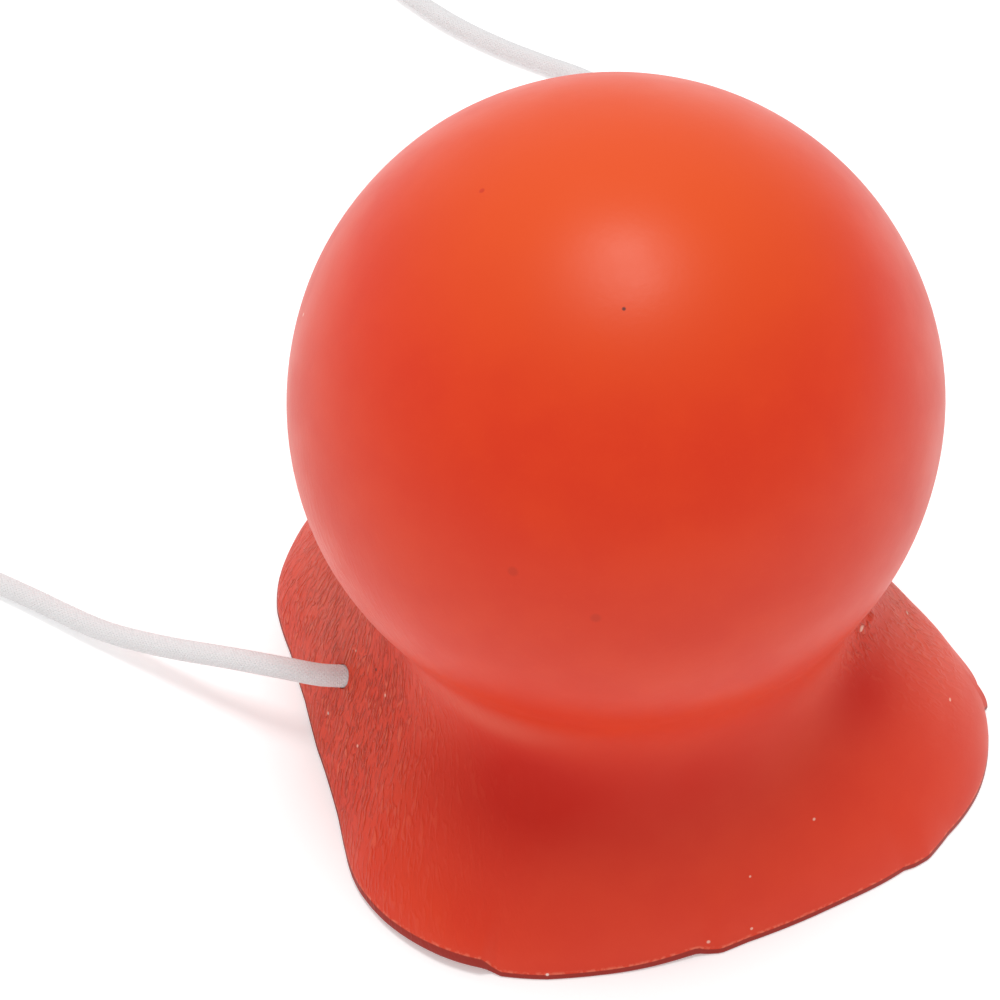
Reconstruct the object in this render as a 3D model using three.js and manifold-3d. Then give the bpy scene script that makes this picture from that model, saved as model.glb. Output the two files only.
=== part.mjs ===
// Clown nose: a hollow latex ball on a flared skirt, with a round elastic from side to side.
// Millimetres, +Z up. The nose rests on its open rim. The origin is on the table under the middle
// of the ball, X runs from the left cord hole to the right one, and -Y is the skirt's near apron.
import * as THREE from "three";
import { mergeVertices } from "three/addons/utils/BufferGeometryUtils.js";
import Module from "manifold-3d";

// Driving dimensions
const BALL_RADIUS = 25;
const BALL_HEIGHT = 35; // middle of the ball above the table
const RIM_RADIUS = 28; // mean reach of the skirt's rim from the ball's axis
const WALL = 1.4; // latex thickness
const HOLE_HEIGHT = 8; // cord holes above the table
const HOLE_SETBACK = 5; // degrees that the holes lie behind the X axis
const HOLE_SPLAY = 20; // degrees that the cord leaves further back than straight out
const CORD_DIAMETER = 1.9;
const CORD_CLEARANCE = 0.3; // free space all round the cord in its hole
const KNOT_RADIUS = 2.2;
const KNOT_HALF_DEPTH = 1.7; // half the knot's length along the cord
const SEAT_GAP = 0.3; // between the knot, the latex and the end of the cord

// Fineness of the surfaces
const AROUND = 64;
const BALL_RINGS = 16;
const SKIRT_RINGS = 12;
const CORD_SIDES = 8;
const CORD_STEPS = 80;
const KNOT_SIDES = 14;
const KNOT_RINGS = 10;
const HOLE_SIDES = 16;

const LATEX = new THREE.MeshStandardMaterial({ color: 0xd6432c, roughness: 0.5, metalness: 0 });
const ELASTIC = new THREE.MeshStandardMaterial({ color: 0xe8e8e6, roughness: 0.85, metalness: 0 });

// The skirt round the axis, one section a row. at: azimuth in degrees from +X. reach: share of the
// rim radius. flare: degrees that the wall leans out at the rim. dip: degrees below the ball's
// equator where the neck begins. neck and shoulder: how far the curve keeps the ball's slope
// above, and the rim's slope below, as shares of the skirt's height there.
const SKIRT_COLUMNS = ["at", "reach", "flare", "dip", "neck", "shoulder"];
const SKIRT_TABLE = [
  [0, 0.9, 8, 31, 0.29, 0.35],
  [20, 0.935, 10, 29, 0.28, 0.35],
  [42, 1.02, 14, 28, 0.29, 0.34],
  [66, 1.05, 18, 28, 0.29, 0.32],
  [90, 1.05, 20, 28, 0.29, 0.3],
  [114, 1.115, 18, 30, 0.31, 0.33],
  [138, 1.08, 14, 32, 0.34, 0.37],
  [160, 0.95, 10, 34, 0.35, 0.4],
  [178, 0.905, 8, 34, 0.35, 0.4],
  [192, 0.94, 8, 33, 0.36, 0.39],
  [208, 1.06, 12, 30, 0.4, 0.37],
  [226, 1.1, 15, 27, 0.46, 0.38],
  [246, 1.06, 17, 24, 0.52, 0.38],
  [268, 1.025, 18, 24, 0.54, 0.38],
  [286, 1.055, 17, 24, 0.53, 0.37],
  [304, 1.145, 14, 24, 0.47, 0.35],
  [320, 1.2, 10, 25, 0.38, 0.33],
  [334, 1.155, 5, 28, 0.32, 0.34],
  [348, 0.975, 8, 33, 0.31, 0.35],
].map((row) => Object.fromEntries(SKIRT_COLUMNS.map((name, i) => [name, row[i]])));

// The cord's route, from the left knot over the table to the right knot: x, y and z of its middle.
const CORD_ROUTE = [
  [-20.55, 1.05, 8],
  [-22.35, 1.9, 8],
  [-24.2, 2.75, 8],
  [-26.6, 4.5, 7.8],
  [-30.0, 8.0, 6.3],
  [-35.3, 13.9, 3.3],
  [-39.4, 18.6, 1.6],
  [-44.6, 25.1, 1.02],
  [-50.9, 32.3, 1],
  [-57.0, 38.6, 1],
  [-64.4, 46.6, 1],
  [-70.3, 56.2, 1],
  [-73.2, 68.0, 1],
  [-72.2, 80.6, 1],
  [-67.6, 92.6, 1],
  [-59.8, 103.0, 1],
  [-49.6, 110.9, 1],
  [-38.0, 116.0, 1],
  [-25.0, 118.3, 1],
  [-9.2, 116.1, 1],
  [3.2, 108.9, 1],
  [8.9, 102.9, 1],
  [12.3, 96.8, 1],
  [14.8, 90.4, 1],
  [17.4, 84.9, 1],
  [20.7, 79.8, 1],
  [23.8, 75.9, 1],
  [27.5, 71.5, 1],
  [30.6, 65.6, 1],
  [32.3, 57.6, 1],
  [32.6, 48.0, 1],
  [32.1, 38.0, 1],
  [31.5, 28.5, 1.2],
  [30.7, 20.6, 2.1],
  [29.8, 13.9, 3.9],
  [28.45, 8.5, 6.1],
  [26.62, 4.5, 7.7],
  [24.71, 2.84, 8],
  [22.86, 1.97, 8],
  [21.09, 1.15, 8],
];

const radians = THREE.MathUtils.degToRad;
const modulo = THREE.MathUtils.euclideanModulo;

// One column of the skirt's table at any azimuth, on a smooth curve that closes on itself.
function columnAt(name, azimuth) {
  const rows = SKIRT_TABLE.length;
  const angle = modulo(azimuth, 360);
  const behind = SKIRT_TABLE.filter((row) => row.at <= angle).length - 1;
  const knot = (step) => {
    const index = behind + step;
    const row = SKIRT_TABLE[modulo(index, rows)];
    return { at: row.at + 360 * Math.floor(index / rows), value: row[name] };
  };
  const [before, from, to, after] = [-1, 0, 1, 2].map(knot);
  const span = to.at - from.at;
  const t = (angle - from.at) / span;
  const slopeFrom = ((to.value - before.value) / (to.at - before.at)) * span;
  const slopeTo = ((after.value - from.value) / (after.at - from.at)) * span;
  return (
    (2 * t ** 3 - 3 * t ** 2 + 1) * from.value +
    (t ** 3 - 2 * t ** 2 + t) * slopeFrom +
    (3 * t ** 2 - 2 * t ** 3) * to.value +
    (t ** 3 - t ** 2) * slopeTo
  );
}

// One face of the wall at an azimuth, from the top of the ball to the rim, as radius and height.
// inset is 0 for the outside and the wall's thickness for the inside.
function faceAt(azimuth, inset) {
  const dip = radians(columnAt("dip", azimuth));
  const flare = radians(columnAt("flare", azimuth));
  const skirtHeight = BALL_HEIGHT - BALL_RADIUS * Math.sin(dip);
  const onBall = (below) => {
    const radius = BALL_RADIUS - inset;
    return new THREE.Vector2(radius * Math.cos(below), BALL_HEIGHT - radius * Math.sin(below));
  };
  const top = -Math.PI / 2;
  const ball = Array.from({ length: BALL_RINGS }, (_, i) => onBall(top + ((dip - top) * i) / BALL_RINGS));
  ball[0].x = 0;
  const start = onBall(dip);
  const ballSlope = new THREE.Vector2(-Math.sin(dip), -Math.cos(dip));
  const rimSlope = new THREE.Vector2(Math.sin(flare), -Math.cos(flare));
  const rim = new THREE.Vector2(RIM_RADIUS * columnAt("reach", azimuth) - inset / Math.cos(flare), 0);
  const neck = start.clone().addScaledVector(ballSlope, skirtHeight * columnAt("neck", azimuth));
  const shoulder = rim.clone().addScaledVector(rimSlope, -skirtHeight * columnAt("shoulder", azimuth));
  const skirt = new THREE.CubicBezierCurve(start, neck, shoulder, rim).getPoints(SKIRT_RINGS);
  return [...ball, ...skirt];
}

// The whole wall at an azimuth: down the inside from its top, round the rim and up the outside.
function wallSection(azimuth) {
  return [...faceAt(azimuth, WALL), ...faceAt(azimuth, 0).reverse()];
}

function placeAt(azimuth, radius, height) {
  const angle = radians(azimuth);
  return new THREE.Vector3(radius * Math.cos(angle), radius * Math.sin(angle), height);
}

// The place on the outside of the skirt at an azimuth and a height.
function skirtPlace(azimuth, height) {
  const face = faceAt(azimuth, 0);
  const below = face.findIndex((point) => point.y <= height);
  const [high, low] = [face[below - 1], face[below]];
  const share = (high.y - height) / (high.y - low.y);
  return placeAt(azimuth, THREE.MathUtils.lerp(high.x, low.x, share), height);
}

// A cord hole: its middle on the outside of the skirt, the way the cord leaves it, and the
// direction that the latex faces there. side is 1 for the right hole and -1 for the left one.
function cordHole(side) {
  const azimuth = side > 0 ? HOLE_SETBACK : 180 - HOLE_SETBACK;
  const middle = skirtPlace(azimuth, HOLE_HEIGHT);
  const along = skirtPlace(azimuth + 1, HOLE_HEIGHT).sub(middle);
  const down = skirtPlace(azimuth, HOLE_HEIGHT - WALL).sub(middle);
  const facing = down.cross(along).normalize();
  const axis = placeAt(azimuth + side * HOLE_SPLAY, 1, 0);
  return { middle, axis, facing };
}

const wasm = await Module();
wasm.setup();

function toSolid(geometry) {
  const bare = geometry.clone();
  bare.deleteAttribute("normal");
  bare.deleteAttribute("uv");
  const merged = mergeVertices(bare, 1e-4);
  return new wasm.Manifold(
    new wasm.Mesh({
      numProp: 3,
      vertProperties: merged.getAttribute("position").array,
      triVerts: new Uint32Array(merged.index.array),
    }),
  );
}

function toGeometry(solid) {
  const { vertProperties, triVerts } = solid.getMesh();
  const geometry = new THREE.BufferGeometry();
  geometry.setAttribute("position", new THREE.BufferAttribute(vertProperties, 3));
  geometry.setIndex(new THREE.BufferAttribute(triVerts, 1));
  geometry.computeVertexNormals();
  return geometry;
}

// Ball, neck and skirt: a lathed wall whose profile changes with the azimuth.
function mouldedShell() {
  const profileAt = (turn) => wallSection((360 * (turn % AROUND)) / AROUND);
  const shell = new THREE.LatheGeometry(profileAt(0), AROUND);
  const places = shell.getAttribute("position");
  for (let turn = 0; turn <= AROUND; turn++) {
    const azimuth = (360 * (turn % AROUND)) / AROUND;
    profileAt(turn).forEach((point, step, profile) => {
      const place = placeAt(azimuth, point.x, point.y);
      places.setXYZ(turn * profile.length + step, place.x, place.y, place.z);
    });
  }
  return shell;
}

// The round hole that the cord passes through, as a cutter across the wall.
function holeCutter(hole) {
  const radius = CORD_DIAMETER / 2 + CORD_CLEARANCE;
  const cutter = new THREE.CylinderGeometry(radius, radius, 6 * WALL, HOLE_SIDES);
  const turn = new THREE.Quaternion().setFromUnitVectors(new THREE.Vector3(0, 1, 0), hole.axis);
  cutter.applyQuaternion(turn);
  cutter.translate(hole.middle.x, hole.middle.y, hole.middle.z);
  return cutter;
}

function noseShell() {
  let shell = toSolid(mouldedShell());
  for (const side of [-1, 1]) {
    shell = shell.subtract(toSolid(holeCutter(cordHole(side))));
  }
  return new THREE.Mesh(toGeometry(shell), LATEX);
}

function elasticCord() {
  const corners = Array.from({ length: CORD_SIDES }, (_, i) => {
    const angle = (2 * Math.PI * (i + 0.5)) / CORD_SIDES;
    return new THREE.Vector2(Math.cos(angle), Math.sin(angle)).multiplyScalar(CORD_DIAMETER / 2);
  });
  const route = new THREE.CatmullRomCurve3(CORD_ROUTE.map((point) => new THREE.Vector3(...point)));
  const tube = new THREE.ExtrudeGeometry(new THREE.Shape(corners), {
    steps: CORD_STEPS,
    bevelEnabled: false,
    extrudePath: route,
  });
  return new THREE.Mesh(tube, ELASTIC);
}

// A knot inside the skirt, flattened along the cord and drawn up against the latex behind the hole.
function elasticKnot(side) {
  const { middle, axis, facing } = cordHole(side);
  const square = axis.dot(facing);
  const reach = Math.hypot(KNOT_HALF_DEPTH * square, KNOT_RADIUS * Math.sqrt(1 - square ** 2));
  const behind = (WALL + SEAT_GAP + reach) / square;
  const form = new THREE.SphereGeometry(KNOT_RADIUS, KNOT_SIDES, KNOT_RINGS);
  form.scale(1, KNOT_HALF_DEPTH / KNOT_RADIUS, 1);
  const knot = new THREE.Mesh(form, ELASTIC);
  knot.quaternion.setFromUnitVectors(new THREE.Vector3(0, 1, 0), axis);
  knot.position.copy(middle).addScaledVector(axis, -behind);
  return knot;
}

const named = (name, mesh) => Object.assign(mesh, { name });

const clownNose = new THREE.Group();
clownNose.add(
  named("nose_shell", noseShell()),
  named("elastic_cord", elasticCord()),
  named("elastic_knot_left", elasticKnot(-1)),
  named("elastic_knot_right", elasticKnot(1)),
);

export default clownNose;
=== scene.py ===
"""A moulded latex clown nose on a white table, with its round elastic laid out behind it.

Metres, +Z up. The nose rests on the rim of its skirt. The origin is on the table below the middle
of the ball, X runs from the left cord hole to the right one, and -Y is the skirt's near apron.
"""

import logging
import math
from dataclasses import dataclass, field
from enum import Enum
from itertools import pairwise
from typing import Any, NamedTuple

import bmesh
import bpy
import numpy as np
from mathutils import Matrix, Vector, noise


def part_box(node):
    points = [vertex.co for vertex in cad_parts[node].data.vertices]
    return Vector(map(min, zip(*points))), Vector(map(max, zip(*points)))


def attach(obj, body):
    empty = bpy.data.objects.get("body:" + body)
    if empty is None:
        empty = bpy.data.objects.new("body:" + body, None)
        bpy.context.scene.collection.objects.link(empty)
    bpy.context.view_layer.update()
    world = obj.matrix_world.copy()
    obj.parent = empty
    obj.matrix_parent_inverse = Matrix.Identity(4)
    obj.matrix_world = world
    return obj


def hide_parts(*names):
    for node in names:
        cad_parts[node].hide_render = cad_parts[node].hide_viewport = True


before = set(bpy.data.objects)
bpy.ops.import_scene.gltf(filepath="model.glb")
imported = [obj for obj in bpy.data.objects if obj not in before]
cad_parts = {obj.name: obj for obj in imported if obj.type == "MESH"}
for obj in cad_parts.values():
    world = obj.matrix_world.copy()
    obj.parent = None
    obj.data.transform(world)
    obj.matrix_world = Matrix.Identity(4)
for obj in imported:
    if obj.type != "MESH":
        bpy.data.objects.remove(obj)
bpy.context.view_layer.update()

Tree = bpy.types.NodeTree
Socket = bpy.types.NodeSocket

LOG = logging.getLogger("clown_nose")
MM = 0.001
BODY = "root"
WELD = 0.001 * MM
TINY = 1e-12

# The elastic's way from the left knot over the table to the right knot, in millimetres.
CORD_ROUTE = [
    (-20.55, 1.05, 8), (-22.35, 1.9, 8), (-24.2, 2.75, 8), (-26.6, 4.5, 7.8), (-30.0, 8.0, 6.3),
    (-35.3, 13.9, 3.3), (-39.4, 18.6, 1.6), (-44.6, 25.1, 1.02), (-50.9, 32.3, 1),
    (-57.0, 38.6, 1), (-64.4, 46.6, 1), (-70.3, 56.2, 1), (-73.2, 68.0, 1), (-72.2, 80.6, 1),
    (-67.6, 92.6, 1), (-59.8, 103.0, 1), (-49.6, 110.9, 1), (-38.0, 116.0, 1), (-25.0, 118.3, 1),
    (-9.2, 116.1, 1), (3.2, 108.9, 1), (8.9, 102.9, 1), (12.3, 96.8, 1), (14.8, 90.4, 1),
    (17.4, 84.9, 1), (20.7, 79.8, 1), (23.8, 75.9, 1), (27.5, 71.5, 1), (30.6, 65.6, 1),
    (32.3, 57.6, 1), (32.6, 48.0, 1), (32.1, 38.0, 1), (31.5, 28.5, 1.2), (30.7, 20.6, 2.1),
    (29.8, 13.9, 3.9), (28.45, 8.5, 6.1), (26.62, 4.5, 7.7), (24.71, 2.84, 8), (22.86, 1.97, 8),
    (21.09, 1.15, 8),
]


class Side(Enum):
    """The two ends of the elastic, each with the X direction it leaves in."""

    LEFT = -1
    RIGHT = 1


def linear(colour: str) -> tuple[float, float, float, float]:
    """Turns an sRGB hex colour to the linear one that a shader takes.

    Args:
        colour: Six hex digits after a hash sign.

    Returns:
        Red, green, blue and an alpha of one.
    """
    shares = [int(colour[at : at + 2], 16) / 255 for at in (1, 3, 5)]
    red, green, blue = (
        share / 12.92 if share <= 0.04045 else ((share + 0.055) / 1.055) ** 2.4 for share in shares
    )
    return red, green, blue, 1.0


def smoothstep(low: float, high: float, value: np.ndarray) -> np.ndarray:
    """Rises from 0 at low to 1 at high with level ends."""
    share = np.clip((value - low) / (high - low), 0, 1)
    return share * share * (3 - 2 * share)


def cubic(
    t: np.ndarray,
    start: np.ndarray,
    end: np.ndarray,
    slope_start: np.ndarray,
    slope_end: np.ndarray,
) -> np.ndarray:
    """Follows a cubic from start to end, given its slope at both.

    Args:
        t: How far along, from 0 to 1.
        start: The value at 0.
        end: The value at 1.
        slope_start: The slope at 0.
        slope_end: The slope at 1.

    Returns:
        The value at t.
    """
    return (
        (2 * t**3 - 3 * t**2 + 1) * start
        + (t**3 - 2 * t**2 + t) * slope_start
        + (3 * t**2 - 2 * t**3) * end
        + (t**3 - t**2) * slope_end
    )


def add_node(
    tree: Tree,
    kind: str,
    settings: dict[str, Any] | None = None,
    links: dict[str | int, Any] | None = None,
) -> bpy.types.Node:
    """Adds a shader node, with its settings and what goes into its sockets.

    Args:
        tree: The node tree that takes the node.
        kind: The node's Blender type.
        settings: Properties of the node, by name.
        links: By socket name or number, a value, or a socket to link from.

    Returns:
        The new node.
    """
    node = tree.nodes.new(kind)
    for name, value in (settings or {}).items():
        setattr(node, name, value)
    for socket, source in (links or {}).items():
        if isinstance(source, Socket):
            tree.links.new(source, node.inputs[socket])
        else:
            node.inputs[socket].default_value = source
    return node


def calculate(tree: Tree, operation: str, *values: Any, clamp: bool = False) -> Socket:
    """Adds one step of arithmetic.

    Args:
        tree: The node tree that takes it.
        operation: Its Blender name.
        values: What it takes in, as values or sockets.
        clamp: Whether the result stays between 0 and 1.

    Returns:
        The result's socket.
    """
    settings = {"operation": operation, "use_clamp": clamp}
    return add_node(tree, "ShaderNodeMath", settings, dict(enumerate(values))).outputs["Value"]


def vector_step(
    tree: Tree, operation: str, values: dict[str | int, Any], result: str = "Vector"
) -> Socket:
    """Adds one step of vector arithmetic, and returns its result."""
    node = add_node(tree, "ShaderNodeVectorMath", {"operation": operation}, values)
    return node.outputs[result]


def soft_noise(
    tree: Tree, place: Socket, size: float, detail: float, roughness: float = 0.55
) -> Socket:
    """Adds soft noise whose spots are about size across, and returns its value."""
    links = {"Vector": place, "Scale": 1 / size, "Detail": detail, "Roughness": roughness}
    return add_node(tree, "ShaderNodeTexNoise", links=links).outputs["Fac"]


def fade(
    tree: Tree, value: Socket, low: float, high: float, to_low: float = 0.0, to_high: float = 1.0
) -> Socket:
    """Adds a smooth step from one range to another.

    Args:
        tree: The node tree that takes it.
        value: What it takes in.
        low: The value that gives to_low.
        high: The value that gives to_high, which may be below low.
        to_low: The result up to low.
        to_high: The result past high.

    Returns:
        The result's socket.
    """
    limits = {"From Min": low, "From Max": high, "To Min": to_low, "To Max": to_high}
    settings = {"interpolation_type": "SMOOTHSTEP"}
    step = add_node(tree, "ShaderNodeMapRange", settings, {"Value": value, **limits})
    return step.outputs["Result"]


def blend(tree: Tree, share: Socket, first: Any, second: Any) -> Socket:
    """Adds a mix of two colours, share being that of the second, and returns the mixed one."""
    colours = {"Factor": share, 6: first, 7: second}
    return add_node(tree, "ShaderNodeMix", {"data_type": "RGBA"}, colours).outputs[2]


def new_material(name: str) -> tuple[bpy.types.Material, Tree]:
    """Makes an empty node material.

    Args:
        name: The material's name.

    Returns:
        The material and its cleared node tree.
    """
    material = bpy.data.materials.new(name)
    material.use_nodes = True
    material.node_tree.nodes.clear()
    return material, material.node_tree


def add_surface(tree: Tree, links: dict[str | int, Any]) -> None:
    """Closes a material with a principled surface that takes these values and sockets."""
    surface = add_node(tree, "ShaderNodeBsdfPrincipled", links=links)
    add_node(tree, "ShaderNodeOutputMaterial", links={"Surface": surface.outputs["BSDF"]})


def new_object(name: str, data: bpy.types.ID) -> bpy.types.Object:
    """Makes an object and links it to the scene."""
    thing = bpy.data.objects.new(name, data)
    bpy.context.scene.collection.objects.link(thing)
    return thing


def finished_piece(
    name: str, shape: bmesh.types.BMesh, material: bpy.types.Material
) -> bpy.types.Object:
    """Turns a finished bmesh into a smooth-shaded object at the origin.

    Args:
        name: The piece's name.
        shape: The bmesh, which is freed.
        material: Its finish.

    Returns:
        The object, linked to the scene.
    """
    for face in shape.faces:
        face.smooth = True
    mesh = bpy.data.meshes.new(name)
    shape.to_mesh(mesh)
    shape.free()
    mesh.materials.append(material)
    return new_object(name, mesh)


def smooth_path(points: np.ndarray, spacing: float, samples: int = 24) -> np.ndarray:
    """Draws a centripetal Catmull-Rom curve through points, evenly spaced.

    Args:
        points: The points, one a row, in metres.
        spacing: The distance between two points of the result.
        samples: How finely the stretch between two given points is measured.

    Returns:
        The curve's points, one a row, the first and last being the given ones.
    """
    ends = [2 * points[0] - points[1], *points, 2 * points[-1] - points[-2]]
    pieces = []
    for before, start, end, after in zip(ends, ends[1:], ends[2:], ends[3:]):
        first, span, last = (
            math.sqrt(np.linalg.norm(b - a)) for a, b in pairwise((before, start, end, after))
        )
        chord = (end - start) / span
        slope_start = (start - before) / first - (end - before) / (first + span) + chord
        slope_end = chord - (after - start) / (span + last) + (after - end) / last
        t = np.linspace(0, 1, samples, endpoint=False)[:, None]
        pieces.append(cubic(t, start, end, span * slope_start, span * slope_end))
    dense = np.vstack([*pieces, points[-1:]])
    along = np.concatenate([[0], np.cumsum(np.linalg.norm(np.diff(dense, axis=0), axis=1))])
    places = np.linspace(0, along[-1], round(along[-1] / spacing) + 1)
    return np.stack([np.interp(places, along, dense[:, axis]) for axis in range(3)], axis=1)


def rolled_tube(path: np.ndarray, radii: np.ndarray, sides: int) -> bmesh.types.BMesh:
    """Rolls a flat grid into a closed tube along a path, with a UV map in real metres.

    Args:
        path: The tube's middle, one point a row.
        radii: The tube's radius at each point.
        sides: How many faces go round it.

    Returns:
        The tube. Its UV map's u is the distance round it, and v the distance along it.
    """
    ways = np.gradient(path, axis=0)
    ways /= np.linalg.norm(ways, axis=1)[:, None]
    across = np.cross(ways[0], (0.0, 0.0, 1.0))
    rims = []
    for way in ways:
        across = across - (across @ way) * way
        across /= np.linalg.norm(across)
        rims.append((across, np.cross(way, across)))
    along = np.concatenate([[0], np.cumsum(np.linalg.norm(np.diff(path, axis=0), axis=1))])
    steps = len(path) - 1
    tube = bmesh.new()
    uv_layer = tube.loops.layers.uv.new("UVMap")
    bmesh.ops.create_grid(tube, x_segments=steps, y_segments=sides, size=1)
    for face in tube.faces:
        for loop in face.loops:
            x, y, _ = loop.vert.co
            step = round((x + 1) / 2 * steps)
            girth = math.tau * float(radii[step])
            loop[uv_layer].uv = ((y + 1) / 2 * girth, along[step])
    for vertex in tube.verts:
        step = round((vertex.co.x + 1) / 2 * steps)
        turn = math.tau * round((vertex.co.y + 1) / 2 * sides) / sides
        sideways, upright = rims[step]
        out = math.cos(turn) * sideways + math.sin(turn) * upright
        vertex.co = Vector(path[step] + radii[step] * out)
    bmesh.ops.remove_doubles(tube, verts=tube.verts, dist=WELD)
    open_edges = [edge for edge in tube.edges if edge.is_boundary]
    bmesh.ops.holes_fill(tube, edges=open_edges, sides=0)
    bmesh.ops.recalc_face_normals(tube, faces=tube.faces)
    return tube


class Speck(Enum):
    """What marks a moulded skin has, each with its colour."""

    PIT = "#64160C"
    BLUSH = "#D2320D"
    FLECK = "#F0B09C"
    DUST = "#F6D4C8"


class Mark(NamedTuple):
    """A small mark in the skin, at degrees round from +X and millimetres up, size mm in radius."""

    at: float
    height: float
    size: float
    kind: Speck


# The specks that the photograph shows, from the top of the ball down and then round the skirt.
MARKS = [
    Mark(247.2, 57.1, 0.14, Speck.PIT),
    Mark(164.6, 57.9, 0.22, Speck.BLUSH),
    Mark(158.2, 44.4, 0.16, Speck.FLECK),
    Mark(230.0, 42.5, 0.4, Speck.BLUSH),
    Mark(244.6, 39.9, 0.4, Speck.BLUSH),
    Mark(184.2, 12.7, 0.14, Speck.PIT),
    Mark(174.4, 10.8, 0.12, Speck.FLECK),
    Mark(176.8, 4.5, 0.15, Speck.DUST),
    Mark(191.4, 12.2, 0.14, Speck.FLECK),
    Mark(190.8, 6.8, 0.14, Speck.FLECK),
    Mark(240.0, 0.6, 0.14, Speck.DUST),
    Mark(265.6, 1.4, 0.16, Speck.FLECK),
    Mark(272.8, 1.3, 0.13, Speck.FLECK),
    Mark(274.6, 5.3, 0.1, Speck.FLECK),
    Mark(289.0, 7.5, 0.13, Speck.FLECK),
    Mark(312.2, 19.8, 0.3, Speck.FLECK),
    Mark(323.2, 7.6, 0.16, Speck.FLECK),
    Mark(330.4, 13.7, 0.18, Speck.FLECK),
    Mark(331.6, 0.9, 0.16, Speck.FLECK),
    Mark(334.1, 0.5, 0.18, Speck.DUST),
    Mark(335.6, 1.5, 0.12, Speck.FLECK),
    Mark(337.3, 0.6, 0.17, Speck.FLECK),
    Mark(340.2, 1.2, 0.13, Speck.FLECK),
]


@dataclass(frozen=True)
class MouldedLatex:
    """Dip-moulded natural latex with red pigment: a satin skin that turns pale at a low angle.

    The body mottles between two reds and has a pale bloom on the skirt. Painted light turns the
    top of the ball a more orange red, and painted shade lays a deep red, also more matt, in the
    neck valley and on the apron under the ball. Painted light and sheen lay a paler pink on the
    ridge under the neck, the left wing and the right lobe. Where it creased, painted shade darkens
    short leaning furrows and painted highlights pale their crests. Painted shade darkens the cut
    edge, with a pale burr above it. Pairs are the two ends of a fade, and the widths along the cut
    edge are in millimetres.
    """

    body: str = "#E23A0E"
    deep: str = "#DE340C"
    mottle_size: float = 6 * MM
    mottle_fade: tuple[float, float] = (0.3, 0.7)
    # Painted light: the top of the ball, where it is lit brightest, takes this more orange red.
    thin: str = "#E44E10"
    lit_top_heights: tuple[float, float] = (50.5 * MM, 61 * MM)
    bloom: str = "#E6481E"
    bloom_fade: tuple[float, float] = (0.55, 0.9)
    bloom_share: float = 0.25
    grain_size: float = 0.45 * MM
    grain_depth: float = 0.006 * MM
    # Painted shade: the deep red of the neck valley and of the apron under the ball.
    shaded_red: str = "#CC1C02"
    # Painted light and sheen: the paler pink of the ridge under the neck, the left wing and the
    # right lobe.
    lit_pink: str = "#E86E58"
    # Painted shade in the furrows and painted highlights on the crests of the creases.
    furrow_shade: str = "#B42410"
    furrow_shade_fade: tuple[float, float] = (0.4, 0.3)
    crest_highlight: str = "#EA6A4A"
    crest_highlight_fade: tuple[float, float] = (0.58, 0.7)
    stroke_share: float = 0.5
    wrinkle_width: float = 0.46 * MM
    wrinkle_length: float = 1.25 * MM
    wrinkle_lean: float = 15.0
    wrinkle_fade: tuple[float, float] = (0.46, 0.68)
    wrinkle_depth: float = 0.26 * MM
    straight_radius: float = 28 * MM
    # Painted shade: the dark red of the cut edge.
    edge_shade: str = "#9C1E0C"
    edge_shade_width: float = 0.34
    edge_shade_fade: tuple[float, float] = (0.05, -0.08)
    burr: str = "#EC7658"
    burr_width: float = 0.7
    burr_fade: tuple[float, float] = (0.4, 0.65)
    burr_share: float = 0.8
    spot_fade: tuple[float, float] = (1.3, 0.5)
    roughness: float = 0.385
    satin_fade: tuple[float, float] = (0.25, 0.75)
    satin_range: tuple[float, float] = (-0.03, 0.04)
    matter: float = 0.36
    creased_matt: float = 0.45

    def make(self, marks: list[tuple[Vector, Mark]]) -> bpy.types.Material:
        """Builds the latex.

        Args:
            marks: The small marks, each with its place.

        Returns:
            The material.
        """
        material, tree = new_material("moulded_natural_latex")
        place = add_node(tree, "ShaderNodeTexCoord").outputs["Object"]
        mottle = soft_noise(tree, place, self.mottle_size, detail=3.0)
        grain = soft_noise(tree, place, self.grain_size, detail=2.0)
        wrinkle = self.wrinkles(tree, place)
        pigment = self.moulded_colour(tree, place, mottle, grain)
        pigment = self.stroked(tree, pigment, wrinkle)
        pigment = self.edged(tree, pigment, grain)
        for spot, mark in marks:
            share = self.spot(tree, place, spot, mark.size * MM)
            pigment = blend(tree, share, pigment, linear(mark.kind.value))
        add_surface(
            tree,
            {
                "Base Color": pigment,
                "Roughness": self.satin(tree, mottle),
                "IOR": 1.5,
                "Specular IOR Level": 0.3,
                "Sheen Weight": 0.02,
                "Sheen Roughness": 0.35,
                "Normal": self.creases(tree, grain, wrinkle),
            },
        )
        return material

    def moulded_colour(self, tree: Tree, place: Socket, mottle: Socket, grain: Socket) -> Socket:
        """Mixes the reds: mottled and bloomed, with painted light, painted shade and painted
        sheen.

        Args:
            tree: The material's tree.
            place: The place in the nose's own space.
            mottle: The wide noise.
            grain: The fine noise.

        Returns:
            The colour.
        """
        height = add_node(tree, "ShaderNodeSeparateXYZ", links={0: place}).outputs["Z"]
        mottled = fade(tree, mottle, *self.mottle_fade)
        body = blend(tree, mottled, linear(self.body), linear(self.deep))
        # Painted light: the top of the ball turns more orange.
        top_lighting = fade(tree, height, *self.lit_top_heights)
        top_lit = blend(tree, top_lighting, body, linear(self.thin))
        blooming = fade(tree, grain, *self.bloom_fade, 0.0, self.bloom_share)
        bloomed = blend(tree, blooming, top_lit, linear(self.bloom))
        # Painted shade in the neck and on the apron, then painted light and sheen.
        shaded_red = blend(tree, self.painted(tree, "painted_shading"), bloomed, linear(self.shaded_red))
        return blend(tree, self.painted(tree, "painted_light"), shaded_red, linear(self.lit_pink))

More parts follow.
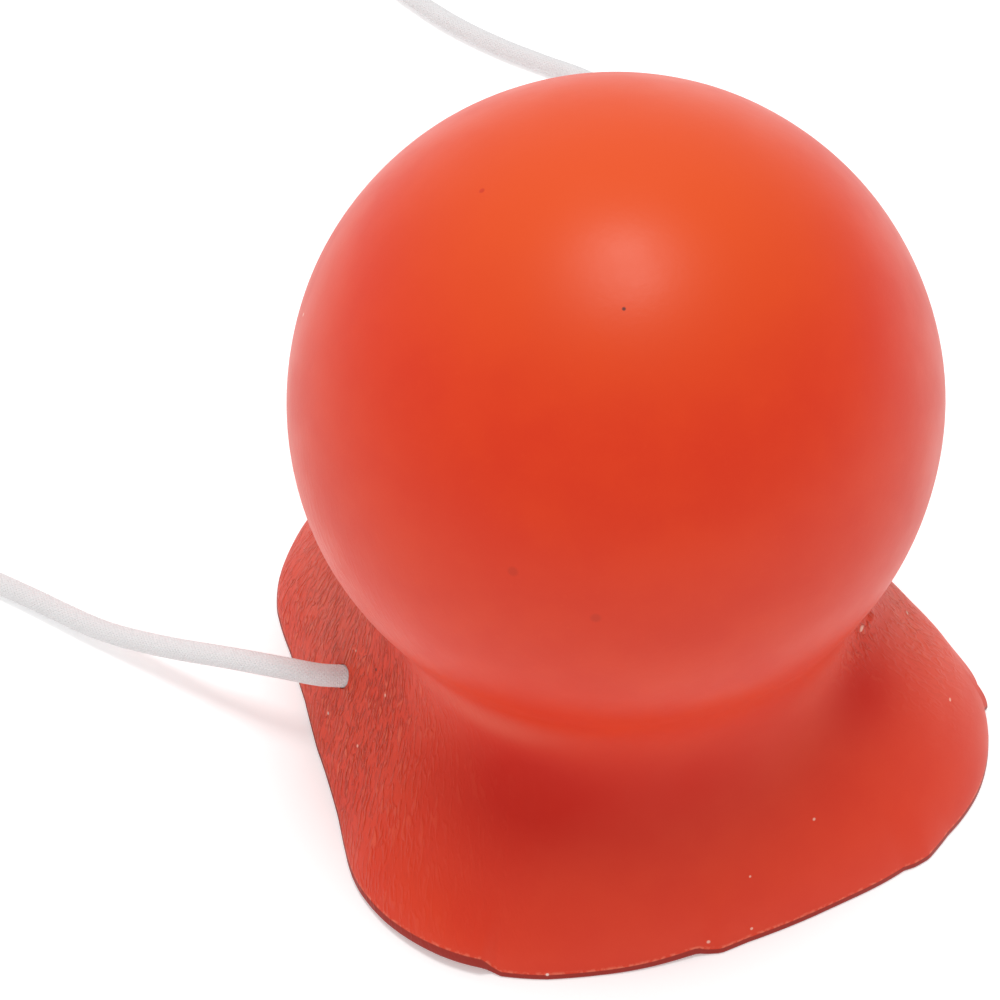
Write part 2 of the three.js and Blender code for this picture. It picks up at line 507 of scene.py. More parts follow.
    def stroked(self, tree: Tree, pigment: Socket, wrinkle: Socket) -> Socket:
        """Paints shade in the furrows and highlights on the crests where the skin creased.

        Args:
            tree: The material's tree.
            pigment: The colour so far.
            wrinkle: The creases' height.

        Returns:
            The colour with them.
        """
        creased = self.painted(tree, "creasing")
        # Painted shade in the furrows, painted highlights on the crests.
        for colour, limits in ((self.furrow_shade, self.furrow_shade_fade), (self.crest_highlight, self.crest_highlight_fade)):
            strokes = fade(tree, wrinkle, *limits)
            share = self.both(tree, strokes, creased, self.stroke_share)
            pigment = blend(tree, share, pigment, linear(colour))
        return pigment

    def edged(self, tree: Tree, pigment: Socket, grain: Socket) -> Socket:
        """Paints shade on the cut edge as a dark red, and colours the burr above it pale.

        Args:
            tree: The material's tree.
            pigment: The colour so far.
            grain: The fine noise, which breaks the burr up.

        Returns:
            The colour with both.
        """
        from_rim = self.painted(tree, "from_rim")
        near = fade(tree, from_rim, self.burr_width, self.edge_shade_width)
        rough = fade(tree, grain, *self.burr_fade)
        burred = self.both(tree, near, rough, self.burr_share)
        pigment = blend(tree, burred, pigment, linear(self.burr))
        # Painted shade on the cut edge.
        above, below = self.edge_shade_fade
        edge_shade = fade(tree, from_rim, self.edge_shade_width + above, self.edge_shade_width + below)
        return blend(tree, edge_shade, pigment, linear(self.edge_shade))

    def satin(self, tree: Tree, mottle: Socket) -> Socket:
        """Makes the skin satin, and more matt where painted shade lies or the skin creased.

        Args:
            tree: The material's tree.
            mottle: The wide noise.

        Returns:
            The roughness.
        """
        low, high = (self.roughness + step for step in self.satin_range)
        even = fade(tree, mottle, *self.satin_fade, low, high)
        creased = self.painted(tree, "creasing")
        creased = self.both(tree, creased, creased, self.creased_matt)
        # More matt where painted shade lies, and where the skin creased.
        matt = calculate(tree, "ADD", self.painted(tree, "painted_shading"), creased, clamp=True)
        return calculate(tree, "MULTIPLY_ADD", matt, self.matter, even)

    def creases(self, tree: Tree, grain: Socket, wrinkle: Socket) -> Socket:
        """Raises the skin's fine grain, and the creases where it creased.

        Args:
            tree: The material's tree.
            grain: The fine noise.
            wrinkle: The creases' height.

        Returns:
            The normal.
        """
        peel = add_node(
            tree,
            "ShaderNodeBump",
            links={"Height": grain, "Distance": self.grain_depth, "Strength": 1.0},
        )
        bump = add_node(
            tree,
            "ShaderNodeBump",
            links={
                "Height": fade(tree, wrinkle, *self.wrinkle_fade),
                "Distance": self.wrinkle_depth,
                "Strength": self.painted(tree, "creasing"),
                "Normal": peel.outputs["Normal"],
            },
        )
        return bump.outputs["Normal"]

    def wrinkles(self, tree: Tree, place: Socket) -> Socket:
        """Draws noise out down the skirt, leaning as it goes down, for the fine creases.

        Args:
            tree: The material's tree.
            place: The place in the nose's own space.

        Returns:
            The creases' height.
        """
        axes = add_node(tree, "ShaderNodeSeparateXYZ", links={0: place})
        level = {"X": axes.outputs["X"], "Y": axes.outputs["Y"], "Z": 0.0}
        flat = add_node(tree, "ShaderNodeCombineXYZ", links=level)
        lean = calculate(tree, "MULTIPLY", axes.outputs["Z"], self.wrinkle_lean)
        leant = add_node(
            tree,
            "ShaderNodeVectorRotate",
            {"rotation_type": "Z_AXIS"},
            {"Vector": flat.outputs["Vector"], "Angle": lean},
        )
        round_way = vector_step(tree, "NORMALIZE", {0: leant.outputs["Vector"]})
        turns = self.straight_radius / self.wrinkle_width
        across = vector_step(tree, "SCALE", {0: round_way, "Scale": turns})
        down = calculate(tree, "DIVIDE", axes.outputs["Z"], self.wrinkle_length)
        lift = add_node(tree, "ShaderNodeCombineXYZ", links={"X": 0.0, "Y": 0.0, "Z": down})
        texture = add_node(
            tree,
            "ShaderNodeTexNoise",
            links={
                "Vector": vector_step(tree, "ADD", {0: across, 1: lift.outputs["Vector"]}),
                "Scale": 1.0,
                "Detail": 1.5,
                "Roughness": 0.5,
                "Distortion": 0.7,
            },
        )
        return texture.outputs["Fac"]

    def painted(self, tree: Tree, name: str) -> Socket:
        """Reads a value that the nose's vertices carry."""
        return add_node(tree, "ShaderNodeAttribute", {"attribute_name": name}).outputs["Fac"]

    def both(self, tree: Tree, first: Socket, second: Socket, share: float) -> Socket:
        """Adds the product of two values and a share, and returns it."""
        return calculate(tree, "MULTIPLY", calculate(tree, "MULTIPLY", first, second), share)

    def spot(self, tree: Tree, place: Socket, middle: Vector, size: float) -> Socket:
        """Adds a soft round spot, and returns its share, which is 1 in its middle."""
        away = vector_step(tree, "DISTANCE", {0: place, 1: tuple(middle)}, "Value")
        outer, inner = self.spot_fade
        return fade(tree, away, outer * size, inner * size)


@dataclass(frozen=True)
class CoveredElastic:
    """Rubber thread under a white spun polyester cover: a matt, faintly glittering white."""

    body: str = "#FDFCFB"
    shade: str = "#E2E1E4"
    roughness: float = 0.55
    strand: float = 0.36 * MM
    strand_depth: float = 0.03 * MM
    fibre: float = 0.12 * MM
    fibre_depth: float = 0.04 * MM

    def make(self) -> bpy.types.Material:
        """Builds the covered elastic, whose pattern follows the tube's own UV map.

        Returns:
            The material.
        """
        material, tree = new_material("white_covered_elastic")
        uv = add_node(tree, "ShaderNodeUVMap", {"uv_map": "UVMap"}).outputs["UV"]
        axes = add_node(tree, "ShaderNodeSeparateXYZ", links={0: uv})
        families = []
        for lean in (-1.0, 1.0):
            slope = calculate(tree, "MULTIPLY_ADD", axes.outputs["X"], lean, axes.outputs["Y"])
            turn = calculate(tree, "MULTIPLY", slope, math.tau / self.strand)
            families.append(calculate(tree, "SINE", turn))
        over = calculate(tree, "MAXIMUM", *families)
        fibres = soft_noise(tree, uv, self.fibre, detail=2.0, roughness=0.6)
        strands = add_node(
            tree,
            "ShaderNodeBump",
            links={"Height": over, "Distance": self.strand_depth, "Strength": 1.0},
        )
        fuzz = add_node(
            tree,
            "ShaderNodeBump",
            links={
                "Height": fibres,
                "Distance": self.fibre_depth,
                "Strength": 1.0,
                "Normal": strands.outputs["Normal"],
            },
        )
        add_surface(
            tree,
            {
                "Base Color": blend(tree, fibres, linear(self.shade), linear(self.body)),
                "Roughness": self.roughness,
                "IOR": 1.5,
                "Sheen Weight": 0.5,
                "Sheen Roughness": 0.4,
                "Normal": fuzz.outputs["Normal"],
            },
        )
        return material


@dataclass(frozen=True)
class LightTable:
    """Matt white acrylic, softly lit from below, that throws even light up under the ball."""

    body: str = "#F6F6F6"
    roughness: float = 0.9
    glow: float = 0.29

    def make(self) -> bpy.types.Material:
        """Builds the acrylic.

        Returns:
            The material.
        """
        material, tree = new_material("matt_white_acrylic")
        add_surface(
            tree,
            {
                "Base Color": linear(self.body),
                "Roughness": self.roughness,
                "Specular IOR Level": 0.2,
                "Emission Color": linear(self.body),
                "Emission Strength": self.glow,
            },
        )
        return material


class SkirtSection(NamedTuple):
    """One section of the skirt, at an azimuth in degrees from +X.

    reach is the rim's distance as a share of the rim radius, flare the degrees that the wall leans
    out there, dip the degrees below the ball's equator where the neck begins, neck and shoulder
    the shares of the skirt's height over which the curve keeps the ball's and the rim's slope.
    """

    at: float
    reach: float
    flare: float
    dip: float
    neck: float
    shoulder: float


SKIRT = [
    SkirtSection(0, 0.9, 8, 31, 0.29, 0.35),
    SkirtSection(20, 0.935, 10, 29, 0.28, 0.35),
    SkirtSection(42, 1.02, 14, 28, 0.29, 0.34),
    SkirtSection(66, 1.05, 18, 28, 0.29, 0.32),
    SkirtSection(90, 1.05, 20, 28, 0.29, 0.3),
    SkirtSection(114, 1.115, 18, 30, 0.31, 0.33),
    SkirtSection(138, 1.08, 14, 32, 0.34, 0.37),
    SkirtSection(160, 0.95, 10, 34, 0.35, 0.4),
    SkirtSection(178, 0.905, 8, 34, 0.35, 0.4),
    SkirtSection(192, 0.94, 8, 33, 0.36, 0.39),
    SkirtSection(208, 1.06, 12, 30, 0.4, 0.37),
    SkirtSection(226, 1.1, 15, 27, 0.46, 0.38),
    SkirtSection(246, 1.06, 17, 24, 0.52, 0.38),
    SkirtSection(268, 1.025, 18, 24, 0.54, 0.38),
    SkirtSection(286, 1.055, 17, 24, 0.53, 0.37),
    SkirtSection(304, 1.145, 14, 24, 0.47, 0.35),
    SkirtSection(320, 1.2, 10, 25, 0.38, 0.33),
    SkirtSection(334, 1.155, 5, 28, 0.32, 0.34),
    SkirtSection(348, 0.975, 8, 33, 0.31, 0.35),
]


class TrimPlace(NamedTuple):
    """Where the scissors strayed: degrees round the rim, millimetres further out and up."""

    at: float
    out: float
    lift: float


TRIM = [
    TrimPlace(*row)
    for row in (
        (146, 0.0, 0.0), (155, -0.45, 0.0), (166, -0.45, 0.0), (178, 0.0, 0.0), (200, 0.0, 0.0),
        (214, 0.4, 0.5), (224, 0.5, 0.85), (230.6, 0.4, 0.9), (231.4, 0.1, 0.2), (233.2, 0.3, 0.0),
        (240, 0.25, 0.0), (248, -0.05, 0.0), (256, -0.1, 0.1), (263.6, -0.15, 0.3),
        (265.2, 0.0, 0.05), (267.4, 0.25, 0.0), (272, 0.05, 0.0), (290, -0.1, 0.0),
        (300, -0.15, 0.0), (301.6, 0.15, 0.0), (304, 0.35, 0.0), (309, 0.0, 0.0), (326, 0.0, 0.0),
        (332.2, 0.15, 0.0), (333.0, 0.6, 0.0), (333.8, 0.15, 0.0), (335.5, 0.3, 0.0),
        (336.2, 0.75, 0.0), (337.0, 0.3, 0.0), (338.5, 0.75, 0.0), (339.2, 0.4, 0.0),
        (342, 0.35, 0.0), (348, -0.3, 0.0), (353, -0.4, 0.0), (360, 0.0, 0.0),
    )
]


class Patch(NamedTuple):
    """A soft-edged area of the skin.

    at and height are its middle, in degrees round from +X and millimetres up, half_turn and
    half_height its half widths in the same units, and much what it adds in its middle.
    """

    at: float
    height: float
    half_turn: float
    half_height: float
    much: float


# Painted shade: where the neck valley and the apron under the ball are darkened, as shares of the
# deepest colour.
PAINTED_SHADE = [
    Patch(260, 6, 90, 13, 0.22),
    Patch(230, 14.3, 18, 6.2, 0.85),
    Patch(262, 14, 26, 5, 0.55),
    Patch(309, 14.5, 9, 4, 0.75),
    Patch(326, 8, 16, 8, 0.15),
]

# Painted light and sheen: where a paler pink lies on the ridge under the neck, the left wing, the
# right lobe's top and the low apron, as shares of the palest colour.
PAINTED_LIGHT = [
    Patch(221, 20.2, 17, 1.7, 0.4),
    Patch(331, 9, 13, 8, 0.25),
    Patch(334, 15, 12, 4, 0.3),
    Patch(160, 10, 20, 8, 0.35),
    Patch(262, 4, 75, 9, 0.06),
]

# Where the skin creased against the mould, as shares of the deepest creases.
CREASED = [
    Patch(140, 4, 50, 18, 0.9),
    Patch(186, 9, 22, 15, 1.0),
    Patch(334, 14, 15, 6, 0.8),
    Patch(313, 19, 8, 3, 0.8),
]

# Where the skin swells or sinks, in millimetres.
SWOLLEN = [
    Patch(222, 19.6, 18, 2.4, 0.42),
    Patch(224, 24.0, 16, 1.7, -0.1),
    Patch(312.2, 19.8, 1.5, 0.5, 0.3),
    Patch(317, 19.2, 1.4, 0.5, 0.45),
    Patch(341, 8, 9, 3.5, 0.2),
]


@dataclass
class MouldedNose:
    """The hollow ball, its neck and its flared skirt, moulded in one piece and trimmed by hand.

    wave_height and crease_height are in millimetres, and calm_rings are the rings before the edge
    between which the relief fades out. A pin of pin_length punches each cord hole.
    """

    ball_radius: float = 25 * MM
    ball_height: float = 35 * MM
    rim_radius: float = 28 * MM
    wall: float = 1.4 * MM
    around: int = 480
    ball_rings: int = 58
    skirt_rings: int = 74
    inner_rings: int = 20
    outer_edge: float = 0.28 * MM
    inner_edge: float = 0.2 * MM
    edge_rings: int = 5
    spread: float = 0.2 * MM
    trimmed_height: float = 7 * MM
    lifted_shade_reach: float = 0.45
    wave_size: float = 11 * MM
    wave_height: float = 0.07
    crease_size: float = 2.4 * MM
    crease_height: float = 0.07
    calm_rings: tuple[int, int] = (6, 1)
    weld: float = 0.002 * MM
    pin_length: float = 8 * MM
    pin_sides: int = 28
    hole_radius: float = 1.02 * MM
    hole_setback: float = 5.0
    hole_splay: float = 20.0
    azimuths: np.ndarray = field(init=False)
    points: np.ndarray = field(init=False)

    def __post_init__(self) -> None:
        """Works out the directions of the sections and every point of the wall."""
        self.azimuths = np.arange(self.around) * 360 / self.around
        self.points = self.surface_points()

    @property
    def outside(self) -> int:
        """Counts the rings of the outside, from the top of the ball to where the edge starts."""
        return self.ball_rings + self.skirt_rings + 1

    def column(self, name: str) -> np.ndarray:
        """Reads one column of the skirt at every azimuth, on a smooth closed curve.

        Args:
            name: The column's name.

        Returns:
            Its value at each azimuth.
        """
        rows = len(SKIRT)
        at = np.array([section.at for section in SKIRT], float)
        value = np.array([getattr(section, name) for section in SKIRT], float)
        behind = np.searchsorted(at, self.azimuths, side="right") - 1
        turns = [(behind + step) // rows for step in (-1, 0, 1, 2)]
        picks = [(behind + step) % rows for step in (-1, 0, 1, 2)]
        a0, a1, a2, a3 = (at[pick] + 360 * turn for pick, turn in zip(picks, turns))
        v0, v1, v2, v3 = (value[pick] for pick in picks)
        span = a2 - a1
        t = (self.azimuths - a1) / span
        slope1 = (v2 - v0) / (a2 - a0) * span
        slope2 = (v3 - v1) / (a3 - a1) * span
        return cubic(t, v1, v2, slope1, slope2)

    def rim_line(self, inset: float) -> np.ndarray:
        """Gives the sharp line that a face of the wall would end in.

        Args:
            inset: 0 for the outside and the wall's thickness for the inside.

        Returns:
            Its radius and height at every azimuth.
        """
        flare = np.radians(self.column("flare"))
        reach = self.rim_radius * self.column("reach") - inset / np.cos(flare)
        return np.stack([reach, np.zeros_like(reach)])

    def face_rings(
        self, inset: float, ball_rings: int, skirt_rings: int, edge: float
    ) -> list[np.ndarray]:
        """Works out one face of the wall, from the top of the ball to the start of the rim's edge.

        Args:
            inset: As in rim_line.
            ball_rings: Rings on the ball.
            skirt_rings: Rings on the skirt.
            edge: Length of the face that the rim's rounded edge takes up.

        Returns:
            For each ring, radius and height at every azimuth.
        """
        dip = np.radians(self.column("dip"))
        flare = np.radians(self.column("flare"))
        tall = self.ball_height - self.ball_radius * np.sin(dip)
        radius = self.ball_radius - inset
        rings = []
        for ring in range(ball_rings):
            below = -math.pi / 2 + (dip + math.pi / 2) * ring / ball_rings
            out = radius * np.cos(below) if ring else np.zeros_like(below)
            rings.append(np.stack([out, self.ball_height - radius * np.sin(below)]))
        start = np.stack([radius * np.cos(dip), self.ball_height - radius * np.sin(dip)])
        rim = self.rim_line(inset)
        neck = start + np.stack([-np.sin(dip), -np.cos(dip)]) * tall * self.column("neck")
        shoulder = rim - np.stack([np.sin(flare), -np.cos(flare)]) * tall * self.column("shoulder")
        last = 1 - edge / (3 * np.linalg.norm(rim - shoulder, axis=0))
        for ring in range(skirt_rings + 1):
            t = last * ring / skirt_rings
            rings.append(
                (1 - t) ** 3 * start
                + 3 * (1 - t) ** 2 * t * neck
                + 3 * (1 - t) * t**2 * shoulder
                + t**3 * rim
            )
        return rings

    def edge_round(self, rings: list[np.ndarray], inset: float, edge: float) -> list[np.ndarray]:
        """Rounds the rim from the end of a face to the flat that it rests on.

        Args:
            rings: The face's rings, whose last one starts the edge.
            inset: As in rim_line.
            edge: How far the rounding reaches along the flat.

        Returns:
            The edge's rings, without the face's own last one.
        """
        rim = self.rim_line(inset)
        inward = 1.0 if inset else -1.0
        flat = rim + np.array([[inward * edge], [0.0]])
        shares = np.arange(1, self.edge_rings + 1) / self.edge_rings
        return [(1 - t) ** 2 * rings[-1] + 2 * (1 - t) * t * rim + t**2 * flat for t in shares]

    def section_rings(self) -> np.ndarray:
        """Works out every ring: down the outside, under the rim and up the inside.

        Returns:
            An array of ring, radius or height, and azimuth.
        """
        outside = self.face_rings(0.0, self.ball_rings, self.skirt_rings, self.outer_edge)
        outer_edge = self.edge_round(outside, 0.0, self.outer_edge)
        inside = self.face_rings(self.wall, self.inner_rings, self.inner_rings, self.inner_edge)
        inner_edge = self.edge_round(inside, self.wall, self.inner_edge)
        return np.array([*outside, *outer_edge, *reversed(inner_edge), *reversed(inside)])

    def trim(self, name: str) -> np.ndarray:
        """Reads one column of the trimming at every azimuth."""
        at = [place.at for place in TRIM]
        return np.interp(self.azimuths, at, [getattr(place, name) for place in TRIM], period=360)

    def trimmed(self, rings: np.ndarray) -> np.ndarray:
        """Moves the lowest stretch of the wall out and up where the trimming strayed.

        Args:
            rings: The rings of section_rings.

        Returns:
            The rings with the hand-cut rim.
        """
        out = self.trim("out") * MM + self.spread
        lift = self.trim("lift") * MM
        low = 1 - smoothstep(0.0, self.trimmed_height, rings[:, 1])
        rings[:, 0] += low * out
        rings[:, 1] += low * lift
        return rings

    def cover(self, patches: list[Patch], points: np.ndarray) -> np.ndarray:
        """Adds up soft-edged patches.

        Args:
            patches: The patches.
            points: Ring, azimuth and coordinate.

        Returns:
            What the patches come to at each point.
        """
        total = np.zeros(points.shape[:2])
        for patch in patches:
            aside = ((self.azimuths - patch.at + 180) % 360 - 180) / patch.half_turn
            above = (points[..., 2] / MM - patch.height) / patch.half_height
            total += patch.much * np.exp(-(aside[None, :] ** 2) - above**2)
        return total

    def relief(self, points: np.ndarray) -> np.ndarray:
        """Works out how far the outside stands proud: a soft waviness, creases and swellings.

        Args:
            points: Ring, azimuth and coordinate.

        Returns:
            The height at each point of the outside.
        """
        places = [[Vector(place) for place in row] for row in points]
        waves, creases = (
            height * np.array([[noise.noise(place / size) for place in row] for row in places])
            for size, height in (
                (self.wave_size, self.wave_height),
                (self.crease_size, self.crease_height),
            )
        )
        creased = np.clip(self.cover(CREASED, points), 0, 1)
        return (waves + creases * creased + self.cover(SWOLLEN, points)) * MM

    def surface_points(self) -> np.ndarray:
        """Places every vertex of the wall.

        Returns:
            Ring, azimuth and coordinate.
        """
        rings = self.trimmed(self.section_rings())
        turn = np.radians(self.azimuths)
        across = rings[:, 0]
        points = np.stack([across * np.cos(turn), across * np.sin(turn), rings[:, 1]], axis=-1)
        outside = self.outside
        down = np.gradient(points[:outside], axis=0)
        ahead = np.roll(points[:outside], -1, axis=1) - np.roll(points[:outside], 1, axis=1)
        facing = np.cross(down, ahead)
        facing /= np.maximum(np.linalg.norm(facing, axis=-1, keepdims=True), TINY)
        start, stop = (outside - rings_before for rings_before in self.calm_rings)
        proud = 1 - smoothstep(start, stop, np.arange(outside))
        proud[0] = 0
        points[:outside] += facing * (self.relief(points[:outside]) * proud[:, None])[..., None]
        return points

    def marked_places(self) -> list[tuple[Vector, Mark]]:
        """Finds where each small mark lies on the outside."""
        places = []
        for mark in MARKS:
            step = round(mark.at / 360 * self.around) % self.around
            ring = int(np.argmin(np.abs(self.points[: self.outside, step, 2] - mark.height * MM)))
            places.append((Vector(self.points[ring, step]), mark))
        return places

    def rim_distances(self) -> np.ndarray:
        """Measures how many millimetres up the outside each point lies from the cut edge.

        Returns:
            The distances. Where the rim is lifted they are shortened, so that the painted shade
            of the cut edge reaches further up the outside, standing in for its shaded cut face.
        """
        distances = np.zeros(self.points.shape[:2])
        steps = np.linalg.norm(np.diff(self.points[: self.outside], axis=0), axis=-1) / MM
        distances[: self.outside - 1] = np.cumsum(steps[::-1], axis=0)[::-1]
        # The painted shade of the cut edge reaches further up where the rim is lifted.
        distances -= self.lifted_shade_reach * self.trim("lift")
        distances[self.outside + 2 * self.edge_rings :] = distances.max()
        return distances

    def shell(self) -> bmesh.types.BMesh:
        """Spins a straight line into a sleeve and lays its rings along the wall.

        Returns:
            The closed wall, with no holes yet. Its vertices carry how much painted shade and
            painted light the skin takes, how creased it is, and how many millimetres off the cut
            edge it is.
        """
        painted = {
            # Where painted shade and painted light lie, and where the skin creased.
            "painted_shading": np.clip(self.cover(PAINTED_SHADE, self.points), 0, 1),
            "painted_light": np.clip(self.cover(PAINTED_LIGHT, self.points), 0, 1),
            "creasing": np.clip(self.cover(CREASED, self.points), 0, 1),
            "from_rim": self.rim_distances(),
        }
        shape = bmesh.new()
        layers = {name: shape.verts.layers.float.new(name) for name in painted}
        line = [shape.verts.new((1.0, 0.0, float(ring))) for ring in range(len(self.points))]
        edges = [shape.edges.new(pair) for pair in pairwise(line)]
        bmesh.ops.spin(
            shape,
            geom=[*line, *edges],
            cent=(0, 0, 0),
            axis=(0, 0, 1),
            dvec=(0, 0, 0),
            angle=math.tau,
            steps=self.around,
            use_merge=True,
            use_duplicate=False,
        )
        for vertex in shape.verts:
            ring = round(vertex.co.z)
            turn = math.atan2(vertex.co.y, vertex.co.x)
            step = round(turn / math.tau * self.around) % self.around
            vertex.co = Vector(self.points[ring, step])
            for name, layer in layers.items():
                vertex[layer] = painted[name][ring, step]
        bmesh.ops.remove_doubles(shape, verts=shape.verts, dist=self.weld)
        bmesh.ops.recalc_face_normals(shape, faces=shape.faces)
        return shape

    def hole_way(self, side: Side) -> Vector:
        """Gives the level direction in which the elastic leaves a hole."""
        base = self.hole_setback if side is Side.RIGHT else 180 - self.hole_setback
        turn = math.radians(base + side.value * self.hole_splay)
        return Vector((math.cos(turn), math.sin(turn), 0))

    def hole_cutter(self, side: Side) -> bpy.types.Object:
        """Makes the pin that punches one cord hole through the wall.

        Args:
            side: Which hole.

        Returns:
            The pin.
        """
        low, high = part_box(f"elastic_knot_{side.name.lower()}")
        way = self.hole_way(side)
        middle = (low + high) / 2 + way * (self.pin_length / 2)
        turn = Vector((0, 0, 1)).rotation_difference(way).to_matrix().to_4x4()
        pin = bmesh.new()
        bmesh.ops.create_cone(
            pin,
            cap_ends=True,
            segments=self.pin_sides,
            radius1=self.hole_radius,
            radius2=self.hole_radius,
            depth=self.pin_length,
            matrix=Matrix.Translation(middle) @ turn,
        )
        mesh = bpy.data.meshes.new("pin")
        pin.to_mesh(mesh)
        pin.free()
        return new_object("pin", mesh)

    def make(self, latex: bpy.types.Material) -> bpy.types.Object:
        """Builds the nose and punches its two holes.

        Args:
            latex: Its finish.

        Returns:
            The piece.
        """
        nose = finished_piece("moulded_nose", self.shell(), latex)
        cutters = [self.hole_cutter(side) for side in Side]
        for cutter in cutters:
            punch = nose.modifiers.new("punch", "BOOLEAN")
            punch.operation = "DIFFERENCE"
            punch.solver = "EXACT"
            punch.object = cutter
        graph = bpy.context.evaluated_depsgraph_get()
        whole = nose.data
        nose.data = bpy.data.meshes.new_from_object(nose.evaluated_get(graph))
        nose.modifiers.clear()
        bpy.data.meshes.remove(whole)
        nose.data.name = nose.name
        for cutter in cutters:
            bpy.data.objects.remove(cutter)
        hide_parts("nose_shell")
        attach(nose, BODY)
        LOG.info("%s: %d faces", nose.name, len(nose.data.polygons))
        return nose


@dataclass
class RoundElastic:
    """The elastic that goes round the head, with an overhand knot inside the skirt at each end.

    knot_opening is how far the knot's loop stays from closing at each end, in radians. The thread
    starts with a straight stub and is drawn thinner over the length called tightening, and the cut
    tail goes back and down.
    """

    diameter: float = 1.9 * MM
    length: float = 317 * MM
    step: float = 0.4 * MM
    sides: int = 18
    knot_thread: float = 0.66 * MM
    knot_size: float = 0.53 * MM
    knot_rise: float = 0.62 * MM
    knot_step: float = 0.16 * MM
    knot_sides: int = 14
    knot_points: int = 16
    knot_opening: float = 0.35
    tightening: float = 1.6 * MM
    stub: float = 0.5 * MM
    tail: float = 3.2 * MM
    tail_back: float = 0.75
    tail_drop: float = 0.45

    def make_cord(
        self, elastic: bpy.types.Material
    ) -> bpy.types.Object:
        """Args:
            elastic: Its finish.

        Returns:
            The piece.
        """
        path = smooth_path(np.array(CORD_ROUTE, float) * MM, self.step)
        radii = np.full(len(path), self.diameter / 2)
        cord = finished_piece("round_elastic", rolled_tube(path, radii, self.sides), elastic)
        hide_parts("elastic_cord")
        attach(cord, BODY)
        LOG.info("%s: %d faces", cord.name, len(cord.data.polygons))
        return cord

    def make_knot(self, side: Side, way: Vector, elastic: bpy.types.Material) -> bpy.types.Object:
        """Ties one overhand knot, with its cut tail, where the frame's plain knot is.

        Args:
            side: Which end of the elastic.
            way: The direction in which the elastic leaves the knot.
            elastic: Its finish.

        Returns:
            The piece.
        """
        node = f"elastic_knot_{side.name.lower()}"
        low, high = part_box(node)
        turn = np.array(Vector((0, 0, 1)).rotation_difference(way).to_matrix())
        middle = np.array((low + high) / 2)
        end = np.array(CORD_ROUTE[0 if side is Side.LEFT else -1], float) * MM
        t = np.linspace(self.knot_opening, math.tau - self.knot_opening, self.knot_points)
        loops = np.stack(
            [
                self.knot_size * (np.sin(t) + 2 * np.sin(2 * t)),
                self.knot_size * (np.cos(t) - 2 * np.cos(2 * t)),
                -self.knot_rise * np.sin(3 * t),
            ],
            axis=1,
        )
        tied = loops @ turn.T + middle
        away = np.array(way)
        tail_way = -away * self.tail_back - np.array((0.0, 0.0, self.tail_drop))
        cut_end = tied[-1] + tail_way * self.tail
        points = np.vstack([[end + away * self.stub, end], tied, [cut_end]])
        path = smooth_path(points, self.knot_step)
        thin = smoothstep(0.0, self.tightening, np.arange(len(path)) * self.knot_step)
        radii = self.diameter / 2 * (1 - thin) + self.knot_thread * thin
        tube = rolled_tube(path, radii, self.knot_sides)
        knot = finished_piece(f"knot_{side.name.lower()}", tube, elastic)
        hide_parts(node)
        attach(knot, BODY)
        LOG.info("%s: %d faces", knot.name, len(knot.data.polygons))
        return knot


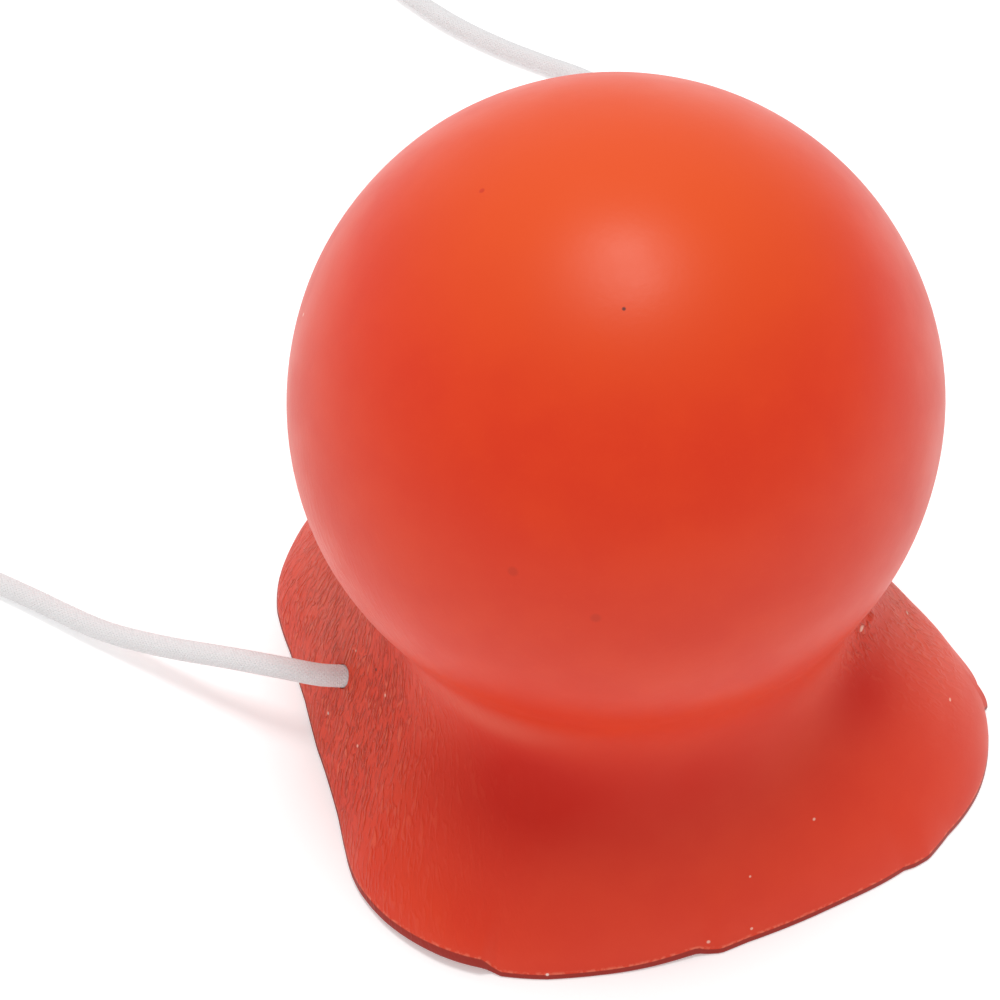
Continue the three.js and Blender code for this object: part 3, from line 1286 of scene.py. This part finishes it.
@dataclass
class WhiteStudio:
    """The white table, the overhead softbox, the bright surround and the camera.

    The surround is brighter behind the nose, along back_way, and back_fade is where that sets in
    and is full, as cosines.
    """

    table_width: float = 3.0
    camera_place: tuple[float, float, float] = (-0.0553, -0.1224, 0.1832)
    camera_pitch: float = 40.0
    camera_yaw: float = -20.6
    lens: float = 94.0
    sensor: float = 36.0
    near: float = 0.01
    box_place: tuple[float, float, float] = (0.05, 0.05, 0.95)
    box_size: float = 0.32
    box_power: float = 3.72
    surround_front: float = 0.58
    surround_back: float = 0.87
    back_way: tuple[float, float, float] = (-0.2, 0.98, 0.0)
    back_fade: tuple[float, float] = (-0.3, 0.9)

    def make(self) -> None:
        """Sets up everything round the nose."""
        self.make_camera()
        self.make_table()
        self.make_lights()
        bpy.context.scene.view_settings.view_transform = "Standard"

    def make_camera(self) -> None:
        """Places the camera at the photograph's angle."""
        camera = new_object("camera", bpy.data.cameras.new("camera"))
        camera.data.lens = self.lens
        camera.data.sensor_width = self.sensor
        camera.data.clip_start = self.near
        camera.location = self.camera_place
        camera.rotation_euler = (math.radians(self.camera_pitch), 0, math.radians(self.camera_yaw))
        bpy.context.scene.camera = camera

    def make_table(self) -> None:
        """Lays the white table under the nose."""
        card = bmesh.new()
        bmesh.ops.create_grid(card, x_segments=1, y_segments=1, size=self.table_width / 2)
        table = finished_piece("table", card, LightTable().make())

    def make_lights(self) -> None:
        """Hangs the softbox and lights the surround."""
        lamp = bpy.data.lights.new("softbox", "AREA")
        lamp.shape = "DISK"
        lamp.size = self.box_size
        lamp.energy = self.box_power
        new_object("softbox", lamp).location = self.box_place
        world = bpy.data.worlds.new("surround")
        world.use_nodes = True
        tree = world.node_tree
        tree.nodes.clear()
        way = add_node(tree, "ShaderNodeTexCoord").outputs["Generated"]
        behind = vector_step(tree, "DOT_PRODUCT", {0: way, 1: self.back_way}, "Value")
        strengths = (self.surround_front, self.surround_back)
        strength = fade(tree, behind, *self.back_fade, *strengths)
        glow = {"Color": (1, 1, 1, 1), "Strength": strength}
        light = add_node(tree, "ShaderNodeBackground", links=glow)
        add_node(tree, "ShaderNodeOutputWorld", links={"Surface": light.outputs["Background"]})
        bpy.context.scene.world = world


def main() -> None:
    """Sets the stage, then builds and dresses each piece."""
    logging.basicConfig(level=logging.INFO, format="%(name)s %(relativeCreated).0f: %(message)s")
    WhiteStudio().make()
    nose = MouldedNose()
    latex = MouldedLatex().make(nose.marked_places())
    elastic = CoveredElastic().make()
    cord = RoundElastic()
    knots = [cord.make_knot(side, nose.hole_way(side), elastic) for side in Side]
    cord.make_cord(elastic)
    nose.make(latex)


if __name__ == "__main__":
    main()
